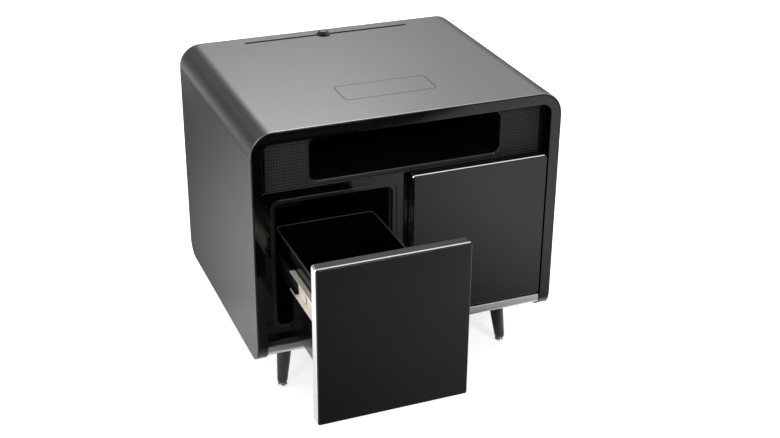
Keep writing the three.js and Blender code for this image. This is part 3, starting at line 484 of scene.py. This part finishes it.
def screws(name, places, facing, radius, body):
    """Button-head screws with a round socket, on a flat face. Facing is the way they look."""
    sunk = 0.2
    mesh = bmesh.new()
    turn = Vector((0, 0, 1)).rotation_difference(Vector(facing)).to_matrix().to_4x4()
    for place in places:
        head = bmesh.new()
        turned(head, [(0, -sunk), (radius, -sunk), (radius, 0.25 * radius),
                      (0.82 * radius, 0.5 * radius), (0.5 * radius, 0.62 * radius),
                      (0.42 * radius, 0.62 * radius), (0.4 * radius, 0.2 * radius),
                      (0, 0.2 * radius)], (0, 0, 0), 20)
        bmesh.ops.transform(head, matrix=Matrix.Translation(place) @ turn, verts=head.verts)
        data = bpy.data.meshes.new("screw")
        head.to_mesh(data)
        head.free()
        mesh.from_mesh(data)
        bpy.data.meshes.remove(data)
    piece(name, mesh, body, "grey_steel", [BLACK_OXIDE_AND_PAINTED_SHADE], smooth=30)


SMALL_HEAD, LARGE_HEAD = 2.6, 3.2  # radii of screw heads

slot_of = {}
for name, source in nodes.items():
    slot_of[name] = source.material_slots[0].material.name
    source.material_slots[0].material = FINISHES[slot_of[name]]


# ---- Studio ----


def seen_directly(tree):
    """1 for what the camera, a reflection or glass sees, 0 for what lights the object."""
    path = node(tree, "LightPath")
    seen = node(tree, "Math", {0: path.outputs["Is Camera Ray"],
                               1: path.outputs["Is Glossy Ray"]}, operation="MAXIMUM")
    return node(tree, "Math", {0: seen.outputs[0], 1: path.outputs["Is Transmission Ray"]},
                operation="MAXIMUM").outputs[0]


def paper():
    """White seamless paper: matt, its own glow lifts it to white where no shadow falls. In a
    reflection it darkens away from its painted pools of light, and a painted dark spot darkens it
    more."""
    made, tree, shader, place = start("seamless_paper", Roughness=0.9, Specular_IOR_Level=0.0)
    fibres = node(tree, "TexNoise", {"Vector": place, "Scale": 1 / 5, "Detail": 3}).outputs["Fac"]
    colour = ramp(tree, fibres, (0.0, "#eeeeee"), (1.0, "#f2f2f2"))
    bright = 0.0
    # Each pool paints light into what reflections see of the paper; the last one paints a dark
    # spot.
    for mix, middle, *stops in PAINTED_LIGHT_POOLS:
        away = node(tree, "VectorMath", {0: place, 1: middle}, operation="DISTANCE")
        share = node(tree, "Math", {0: away.outputs["Value"], 1: 1 / POOL_REACH},
                     operation="MULTIPLY").outputs[0]
        painted_pool = ramp(tree, share, *((far / POOL_REACH, level) for far, level in stops))
        bright = node(tree, "Math", {0: bright, 1: painted_pool}, operation=mix).outputs[0]
    reflected = node(tree, "LightPath").outputs["Is Glossy Ray"]
    level = node(tree, "Mix", {0: reflected, 2: 1.0, 3: bright}).outputs[0]
    tone = node(tree, "VectorMath", {0: colour, 1: level}, operation="MULTIPLY").outputs[0]
    tree.links.new(tone, shader.inputs["Base Color"])
    shader.inputs["Emission Color"].default_value = (1, 1, 1, 1)
    lift = node(tree, "Mix", {0: reflected, 2: FLOOR_GLOW, 3: REFLECTED_GLOW}).outputs[0]
    glow = node(tree, "Math", {0: seen_directly(tree), 1: lift}, operation="MULTIPLY")
    lifted = node(tree, "Math", {0: glow.outputs[0], 1: level}, operation="MULTIPLY")
    tree.links.new(lifted.outputs[0], shader.inputs["Emission Strength"])
    return made


def add_floor():
    mesh = bmesh.new()
    bmesh.ops.create_grid(mesh, x_segments=1, y_segments=1, size=FLOOR_REACH)
    data = bpy.data.meshes.new("paper_floor")
    mesh.to_mesh(data)
    mesh.free()
    made = bpy.data.objects.new("paper_floor", data)
    bpy.context.scene.collection.objects.link(made)
    data.materials.append(paper())


def add_world():
    """White all round where it is seen. In a reflection it is brighter high up, and its left
    side is dark but for a band above the floor."""
    world = bpy.data.worlds.new("studio")
    bpy.context.scene.world = world
    world.use_nodes = True
    tree = world.node_tree
    background = tree.nodes["Background"]
    way = node(tree, "SeparateXYZ", {0: node(tree, "TexCoord").outputs["Generated"]})
    # A direction's X from -0.5 to 0.5, as 0 to 1: the left side is dark, the right bright.
    over = node(tree, "Math", {0: way.outputs["X"], 1: 0.5}, operation="ADD").outputs[0]
    side = ramp(tree, over, (0.1, 0.6), (0.26, 0.38), (0.37, DARK_SIDE), (0.52, 0.4),
                (0.75, 1.0))
    high = ramp(tree, way.outputs["Z"], (0.22, 0.1), (0.42, 2.0), (0.6, 1.1))
    skyline = node(tree, "MapRange", {"Value": way.outputs["Z"], "From Min": 0.0,
                                      "From Max": 0.1, "To Min": 0.8, "To Max": 0})
    side = node(tree, "Math", {0: side, 1: high}, operation="MULTIPLY")
    side = node(tree, "Math", {0: side.outputs[0], 1: skyline.outputs[0]}, operation="MAXIMUM")
    reflected = node(tree, "LightPath").outputs["Is Glossy Ray"]
    shown = node(tree, "Mix", {0: reflected, 2: 1.0, 3: side.outputs[0]}).outputs[0]
    strength = node(tree, "MapRange", {"Value": seen_directly(tree), "To Min": ROOM_LIGHT,
                                       "To Max": shown})
    background.inputs["Color"].default_value = (1, 1, 1, 1)
    tree.links.new(strength.outputs[0], background.inputs["Strength"])


def softbox(name, place, aim, size, power):
    data = bpy.data.lights.new(name, "AREA")
    data.shape = "RECTANGLE"
    data.size, data.size_y = size
    data.energy = power
    lamp = bpy.data.objects.new(name, data)
    bpy.context.scene.collection.objects.link(lamp)
    turn = (Vector(aim) - Vector(place)).to_track_quat("-Z", "Y").to_matrix().to_4x4()
    lamp.matrix_world = Matrix.Translation(place) @ turn


FLOOR_GLOW = 0.74  # how strongly the paper glows where it is seen
REFLECTED_GLOW = 0.5  # and where it is reflected
ROOM_LIGHT = 0.35  # how strongly the white all round lights the object
DARK_SIDE = 0.1  # how bright a reflection of the studio's left side is
FLOOR_REACH = 12  # metres from the paper's middle to its sides
# Painted pools of light (MAXIMUM) and a painted dark spot (MINIMUM) on the paper, which only
# reflections show: the middle of each, then how bright the paper is at some distances from there.
# The dark spot comes last and caps them all at 1. All lengths are millimetres, and POOL_REACH is
# longer than any of the distances.
POOL_REACH = 3200
PAINTED_LIGHT_POOLS = (
    ("MAXIMUM", (1200, -800, 0), (650, 0.9), (800, 0.68), (1000, 0.4), (1350, 0.2), (1700, 0.06)),
    ("MAXIMUM", (-2411, -100, 0), (1750, 1.7), (1930, 1.0), (2120, 0.3), (2260, 0.05)),
    ("MAXIMUM", (-2600, 4300, 0), (2600, 2.4), (3100, 0.05)),
    ("MAXIMUM", (-450, 0, 0), (180, 1.3), (300, 0.7), (400, 0.1), (480, 0.05)),
    ("MAXIMUM", (-170, -20, 0), (130, 2.4), (165, 1.2), (210, 0.05)),
    ("MAXIMUM", (325, -50, 0), (80, 2.0), (115, 0.7), (150, 0.05)),
    ("MINIMUM", (250, -2100, 0), (790, 0.03), (850, 1.0)),
)

add_floor()
add_world()
AIM = (0, 0, 0.5)
softbox("rear_softbox", (0.44, 2.48, 2.47), AIM, (1.2, 1.2), 15)
softbox("upper_rear_softbox", (0.45, 2.14, 2.84), AIM, (1.2, 1.2), 54)
softbox("right_softbox", (1.69, 1.87, 2.47), AIM, (1.2, 1.2), 7)
softbox("left_softbox", (-2.58, 0.46, 2.34), AIM, (1.2, 1.2), 15)
softbox("left_fill", (-1.6, -1.2, 0.9), (-0.25, -0.25, 0.3), (0.5, 0.5), 8)
softbox("front_key", (0.7, -2.62, 2.2), AIM, (0.5, 0.5), 24)


# ---- Case ----


def front_cut(name, size, width, segments=1):
    """The mesh of a CAD node with its front edges cut, faces numbered 1, and its other edges
    softened, faces numbered 2."""
    mesh = merged_copy(name)
    front = ends(name)[0].y
    rim = [e for e in mesh.edges if all(abs(v.co.y - front) < TOUCH for v in e.verts)]
    cut = bevel(mesh, rim, width, segments)
    for face in cut["faces"]:
        face.material_index = 1
    rest = [e for e in sharp(mesh) if all(f.material_index == 0 for f in e.link_faces)]
    soft = bevel(mesh, rest, size, 2)
    for face in soft["faces"]:
        face.material_index = 2
    mesh.normal_update()
    return mesh


def shell(name):
    """A sheet of the case: its front arris is a painted highlight, a thin bright line, and the
    seam between the top and the sides is painted dead black, the painted shade of a groove."""
    mesh = front_cut(name, 0.7, 1.1)
    seam, groove = ends("left_side_panel")[1].z, 1
    # The softened faces at the seam keep the painted gap shade; the other softened faces take the
    # coat.
    for face in mesh.faces:
        if face.material_index == 2 and abs(face.calc_center_median().z - seam) > groove:
            face.material_index = 0
    stand_in(name, mesh, [FINISHES["satin_cover"], PAINTED_ARRIS_HIGHLIGHT, PAINTED_GAP_SHADE])


def bezel():
    """The bezel's outer arris is painted dead black: painted shade, a dark line between it and
    the sheet round it.
    """
    mesh = front_cut("front_bezel", 0.8, 1.4, 2)
    for face in mesh.faces:
        # The front chamfer's faces that turn away from the front take the painted gap shade.
        face.material_index = 1 if face.material_index == 1 and face.normal.y > -0.6 else 0
    stand_in("front_bezel", mesh, [FINISHES["gloss_bezel"], PAINTED_GAP_SHADE])


for name in ("top_cover", "left_side_panel", "right_side_panel"):
    shell(name)
bezel()
for name in ("bottom_panel", "bottom_trim", "cubby_liner"):
    softened(name, 0.5)
for name in ("rear_cover", "tablet_tray"):
    softened(name, 0.8)
softened("face_frame", 0.6, finish=[FINISHES["gloss_bezel"]])
softened("cooling_cavity_frame", 1.2, 3)


def pad():
    """The charging pad lies flush in the top; its edge is painted dead black, the painted shade of
    the gap round it.
    """
    mesh = merged_copy("charging_pad")
    soften(mesh, 0.7, 1)
    # Every face but the top takes the painted gap shade.
    for face in mesh.faces:
        face.material_index = 0 if face.normal.z > 0.95 else 1
    stand_in("charging_pad", mesh, [FINISHES["satin_cover"], PAINTED_GAP_SHADE])


pad()


def grille():
    """The cloth is wrapped round the edges of its frame. A half-gloss lip rims the cubby's
    mouth, and a ledge runs along the grille's foot."""
    softened("speaker_grille", 1.4, 4)
    low, high = ends("speaker_grille")
    mouth_low, mouth_high = ends("cubby_liner")
    wall, radius = 2, 16  # of the cubby's liner, and of its corners
    lip = [(0.3, low.y - 0.9), (1.2, low.y - 0.9), (1.2, low.y + 0.4), (-0.9, low.y + 3),
           (-1.1, low.y + 0.2)]
    mesh = bmesh.new()
    around(mesh, lip, mouth_low.x + wall, mouth_high.x - wall, mouth_low.z + wall,
           mouth_high.z - wall, radius)
    soften(mesh, 0.25, 2)
    piece("cubby_mouth_lip", mesh, "case", "grey_lip")
    proud, sunk, tall = 1.6, 0.6, 2.2
    ledge = bmesh.new()
    block(ledge, (low.x, low.y - proud, low.z), (high.x, low.y + sunk, low.z + tall))
    soften(ledge, 0.5, 3)
    piece("grille_ledge", ledge, "case", "grey_lip")


grille()


def inlet():
    """The mains inlet: a moulded socket with three bright pins."""
    mesh = merged_copy("power_inlet")
    low, high = ends("power_inlet")
    soften(mesh, 0.4)
    middle = (low + high) / 2
    half_width, half_height, start_depth = 8.5, 4.5, 4  # of the space that the pins take
    for face in mesh.faces:
        place = face.calc_center_median()
        pin = (abs(place.x - middle.x) < half_width and abs(place.z - middle.z) < half_height
               and place.y > low.y + start_depth)
        face.material_index = 1 if pin else 0
    stand_in("power_inlet", mesh, [FINISHES["black_plastic"], FINISHES["grey_steel"]])


inlet()


def case_screws():
    """The screws of the face frame, the rear cover and the underside panel."""
    front = ends("face_frame")[0].y
    low, high = ends("bottom_panel")
    screws("face_frame_screws", [(x, front, low.z + up) for x, up in (
        (-277, 300), (-277, 203), (-277, 51), (-277, 14), (277, 14), (277, 300), (0, 14))],
        (0, -1, 0), SMALL_HEAD, "case")
    rear_low, rear_high = ends("rear_cover")
    inset = 14
    screws("rear_cover_screws", [(x, rear_high.y, z) for x in (
        rear_low.x + inset, -96, 96, rear_high.x - inset) for z in (
        rear_low.z + inset, rear_high.z - inset)], (0, 1, 0), LARGE_HEAD, "case")
    screws("bottom_panel_screws", [(x, y, low.z) for x in (-280, 0, 280) for y in (
        low.y + 30, (low.y + high.y) / 2, high.y - 16)], (0, 0, -1), LARGE_HEAD, "case")


case_screws()


# ---- Cooling compartment ----


def lined_cavity():
    """The tub's foam with its moulded liner: the faces that look into the cavity are ABS."""
    mesh = merged_copy("cooling_insulation")
    low, high = ends("cooling_insulation")
    near = 1  # a face this near to the tub's outside is foam
    for face in mesh.faces:
        middle = face.calc_center_median()
        deep = min(middle[i] - low[i] for i in (0, 2)) > near
        inside = deep and min(high[i] - middle[i] for i in (0, 1, 2)) > near
        face.material_index = 1 if inside or face.normal.y < -0.9 else 0
    stand_in("cooling_insulation", mesh, [FINISHES["insulation"], FINISHES["black_plastic"]])


lined_cavity()


# ---- Drawers ----


FRONT_CORNER = 4  # the radius of a drawer front's corners


def front_glass(name):
    """Glass over the whole face, with a polished bevel and a black ground edge."""
    low, high = ends(name)
    reveal, polished, arris = 0.3, 1.5, 0.2
    glass = bmesh.new()
    stacked(glass, low, high, 1, FRONT_CORNER, [
        (high.y, reveal + arris), (high.y - arris, reveal), (low.y + polished, reveal),
        (low.y + arris, reveal + polished - arris), (low.y, reveal + polished + arris)])
    for face in glass.faces:
        face.material_index = 1 if face.normal.y > -0.3 else 0
    stand_in(name, glass, [FINISHES["black_glass"], GLASS_EDGE])


def front_frame(name, grip_name):
    """The aluminium frame behind the glass, with a bright bevel round its front and a soft
    grip along its top."""
    low, high = ends(name)
    wall, cut, arris = 4, 2.8, 0.6
    profile = [(-cut, low.y), (0, low.y + cut), (0, high.y - arris), (-arris, high.y),
               (arris - wall, high.y), (-wall, high.y - arris), (-wall, low.y + arris),
               (arris - wall, low.y)]
    edge = bmesh.new()
    around(edge, profile, low.x, high.x, low.z, high.z, FRONT_CORNER)
    stand_in(name, edge)
    short, back = 3, 0.2  # how far the grip stops before the frame's ends and its rear
    grip = bmesh.new()
    stacked(grip, Vector((low.x + short, low.y + cut, 0)),
            Vector((high.x - short, high.y - back, 0)), 2, 2,
            [(high.z - 0.5, 0), (high.z + 0.1, 0), (high.z + 0.3, 0.1), (high.z + 0.4, 0.4)])
    piece(grip_name, grip, nodes[name]["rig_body"], "seal_rubber", [SOFT_GRIP])


def front_core(prefix):
    """The insulated core with the moulded panel that closes its back, and its screws."""
    low, high = ends(prefix + "_front_core")
    body = nodes[prefix + "_front_core"]["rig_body"]
    skin, inset = 2, 7
    core = bmesh.new()
    block(core, low, (high.x, high.y - skin, high.z))
    soften(core, 0.5)
    stand_in(prefix + "_front_core", core)
    back = bmesh.new()
    stacked(back, low, high, 1, 3, [
        (high.y - skin, 0), (high.y - 0.5, 0), (high.y - 0.15, 0.15), (high.y, 0.5), (high.y, 14),
        (high.y - 1.2, 15.2)])
    piece(prefix + "_front_back_panel", back, body, "black_plastic")
    screws(prefix + "_back_panel_screws", [(x, high.y, z) for x in (low.x + inset, high.x - inset)
           for z in (low.z + inset, (low.z + high.z) / 2, high.z - inset)],
           (0, 1, 0), SMALL_HEAD, body)


def seal():
    """A hollow-lip door seal: a flat foot, a groove and a round bulb that meets the lip."""
    low, high = ends("cooling_gasket")
    foot, deep = low.y, high.y - low.y
    profile = [(0, foot), (0, foot + 0.7), (-2.2, foot + 0.7), (-2.6, foot + 0.75 * deep),
               (-3.6, foot + deep), (-5.4, foot + deep), (-6.6, foot + 0.75 * deep),
               (-7, foot + 0.7), (-9, foot + 0.7), (-9, foot)]
    mesh = bmesh.new()
    around(mesh, profile, low.x, high.x, low.z, high.z, 18)
    stand_in("cooling_gasket", mesh, smooth=60)


def moulded_bin(name, band):
    """A moulded bin: rounded corners, a thicker band below its rim and a smooth inside."""
    low, high = ends(name)
    wall, foot, proud, corner, rim = 2.5, 4, 1.2, 10, 1.8
    top, floor = high.z, low.z + wall
    mesh = bmesh.new()
    stacked(mesh, low, high, 2, corner, [
        (low.z, foot), (low.z + 0.3 * foot, 0.29 * foot), (low.z + foot, 0), (top - band, 0),
        (top - band + 1, -proud), (top - rim, -proud), (top - rim / 2, 0.25 - proud),
        (top - 0.25, rim / 2 - proud), (top, rim - proud), (top, wall - 1),
        (top - 0.4, wall - 0.3), (top - 1.4, wall),
        (floor + foot, wall), (floor + 0.3 * foot, wall + 1.1), (floor, wall + foot)])
    mesh.normal_update()
    for face in mesh.faces:
        # The rolled rim's faces take the painted highlight.
        rolled = face.calc_center_median().z > top - rim and min(
            v.co.z for v in face.verts) > top - rim - 0.2
        face.material_index = 1 if rolled else 0
    stand_in(name, mesh, [POLISHED_BIN, PAINTED_RIM_HIGHLIGHT], smooth=35)


SHEET = 1.2  # the slides' steel


def rail(name):
    """A rolled slide channel: a web with a pressed swage along it, and two lips. The drawer's
    channels and the front ends of the middle ones show their zinc plate; the rest is painted
    black, painted shade for the zinc deep in the case."""
    low, high = ends(name)
    bend, swage, press, unshaded_length = 2.6, 5, 0.7, 36
    web_right = ("left" in name) != ("cabinet" in name)
    web, tip = (high.x, low.x) if web_right else (low.x, high.x)
    inward = -1 if web_right else 1
    mesh = bmesh.new()
    made = block(mesh, low, high)
    corners = [e for e in edges_along(made, 1)
               if all(abs(v.co.x - web) < TOUCH for v in e.verts)]
    bevel(mesh, corners, bend, 4)
    unshaded_end = low.y + unshaded_length
    sliced(mesh, (0, unshaded_end, 0), (0, 1, 0))
    centre = (low.z + high.z) / 2
    for z in (centre - swage - 1, centre - swage, centre + swage, centre + swage + 1):
        sliced(mesh, (0, 0, z), (0, 0, 1))
    swaged = [v for v in mesh.verts if abs(v.co.z - centre) < swage + TOUCH
              and abs(v.co.x - web) < TOUCH]
    gone = [f for f in mesh.faces if abs(f.normal.y) > 0.9 or
            (abs(f.normal.x) > 0.9 and abs(f.calc_center_median().x - tip) < TOUCH)]
    bmesh.ops.delete(mesh, geom=gone, context="FACES")
    bmesh.ops.translate(mesh, vec=(inward * press, 0, 0), verts=swaged)
    bmesh.ops.solidify(mesh, geom=mesh.faces, thickness=SHEET)
    joined(mesh)
    # Faces left unshaded show the zinc; the rest take the painted shade.
    for face in mesh.faces:
        front = face.calc_center_median().y <= unshaded_end
        unshaded = "drawer" in name or ("middle" in name and front)
        face.material_index = 0 if unshaded else 1
    stand_in(name, mesh, [FINISHES["zinc_steel"], BLACK_OXIDE_AND_PAINTED_SHADE], smooth=30)


def rail_fittings(prefix, side):
    """What holds and guides a slide: screws in its web and two nylon pads at its rear end."""
    name = f"{prefix}_drawer_rail_{side}"
    low, high = ends(name)
    away = -1 if side == "left" else 1
    web = high.x - SHEET if side == "left" else low.x + SHEET
    middle = (low.z + high.z) / 2
    body = nodes[name]["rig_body"]
    screws(name + "_screws", [(web, low.y + share * (high.y - low.y), middle)
           for share in (0.08, 0.45, 0.82)], (away, 0, 0), 2.0, body)
    length, half_height, thick = 8.5, 1.6, 0.9
    left, right = sorted((web, web + away * thick))
    rear = high.y - 0.5
    pads = bmesh.new()
    for z in (low.z + 2 * half_height, high.z - 2 * half_height):
        rounded_block(pads, (left, rear - length, z - half_height),
                      (right, rear, z + half_height), 1.2, 0.2)
    piece(name + "_pads", pads, body, "zinc_steel", [NYLON])


for prefix in ("cooling", "storage"):
    front_glass(prefix + "_front_glass")
    front_frame(prefix + "_front_frame", prefix + "_front_grip")
    front_core(prefix)
seal()
moulded_bin("cooling_bin", 26)
moulded_bin("storage_bin", 20)
for name in [n for n in nodes if "_rail_" in n]:
    rail(name)
for prefix in ("cooling", "storage"):
    for side in ("left", "right"):
        rail_fittings(prefix, side)


# ---- Legs and knob ----


def leg(corner):
    """A turned leg that leans outwards, with a rounded foot, on its chrome glide."""
    low, high = ends("leg_" + corner)
    glide_low, glide_high = ends("glide_" + corner)
    top_radius, foot_radius = 17.4, 10.1
    top, foot = Vector((0, 0, high.z)), Vector((0, 0, low.z))
    for i, way in enumerate((1 if "right" in corner else -1, 1 if "rear" in corner else -1)):
        inner, outer = (low[i], high[i]) if way > 0 else (high[i], low[i])
        top[i] = inner + way * top_radius
        foot[i] = outer - way * foot_radius
    rings = []
    for share, draw in ((0, 0.62), (0.012, 0.84), (0.03, 0.96), (0.06, 1), (0.5, 1), (1, 1)):
        radius = (foot_radius + (top_radius - foot_radius) * share) * draw
        rings.append((foot.lerp(top, share), radius))
    mesh = bmesh.new()
    tower(mesh, rings)
    stand_in("leg_" + corner, mesh, smooth=50)
    middle = (glide_low + glide_high) / 2
    radius = (glide_high.x - glide_low.x) / 2
    mesh = bmesh.new()
    turned(mesh, [(0, 0), (radius - 2.2, 0), (radius - 2.2, 1.2), (radius - 1, 1.2), (radius, 2.2),
                  (radius, 5), (radius - 0.8, 6.4), (radius - 3, 7), (radius - 3, 8), (0, 8)],
           (middle.x, middle.y, glide_low.z))
    stand_in("glide_" + corner, mesh, smooth=50)
    plate = bmesh.new()
    hole, disc, thick, screw_circle = top_radius + 0.3, 30, 2.6, 24
    turned(plate, [(hole, -thick), (disc - 0.6, -thick), (disc, 0.6 - thick), (disc, 0), (hole, 0),
                   (hole, -thick)], (top.x, top.y, high.z))
    piece("leg_plate_" + corner, plate, "case", "leg_black")
    screws("leg_plate_screws_" + corner, [
        (top.x + screw_circle * cos(turn), top.y + screw_circle * sin(turn), high.z - thick)
        for turn in (0.6, 2.7, 4.8)], (0, 0, -1), SMALL_HEAD, "case")


for corner in ("front_left", "front_right", "rear_left", "rear_right"):
    leg(corner)


def knob():
    """A low knob: a skirt, a cone and a slightly dished top, on its stem."""
    low, high = ends("control_knob")
    middle = (low + high) / 2
    radius, top_radius, stem, tall = 14.4, 8, 3.5, 8
    base = high.z - tall
    mesh = bmesh.new()
    turned(mesh, [(0, low.z - base), (stem, low.z - base), (stem, 0), (radius - 0.6, 0),
                  (radius, 0.6), (radius, 1.8), (radius - 0.6, 2.4), (radius - 1.8, 3),
                  (top_radius + 1.6, tall - 1.4), (top_radius + 0.6, tall - 0.5),
                  (top_radius - 0.6, tall), (top_radius - 2, tall - 0.2), (0, tall - 0.5)],
           (middle.x, middle.y, base), 48)
    stand_in("control_knob", mesh, smooth=35)


knob()


bpy.context.scene.view_settings.view_transform = "Standard"
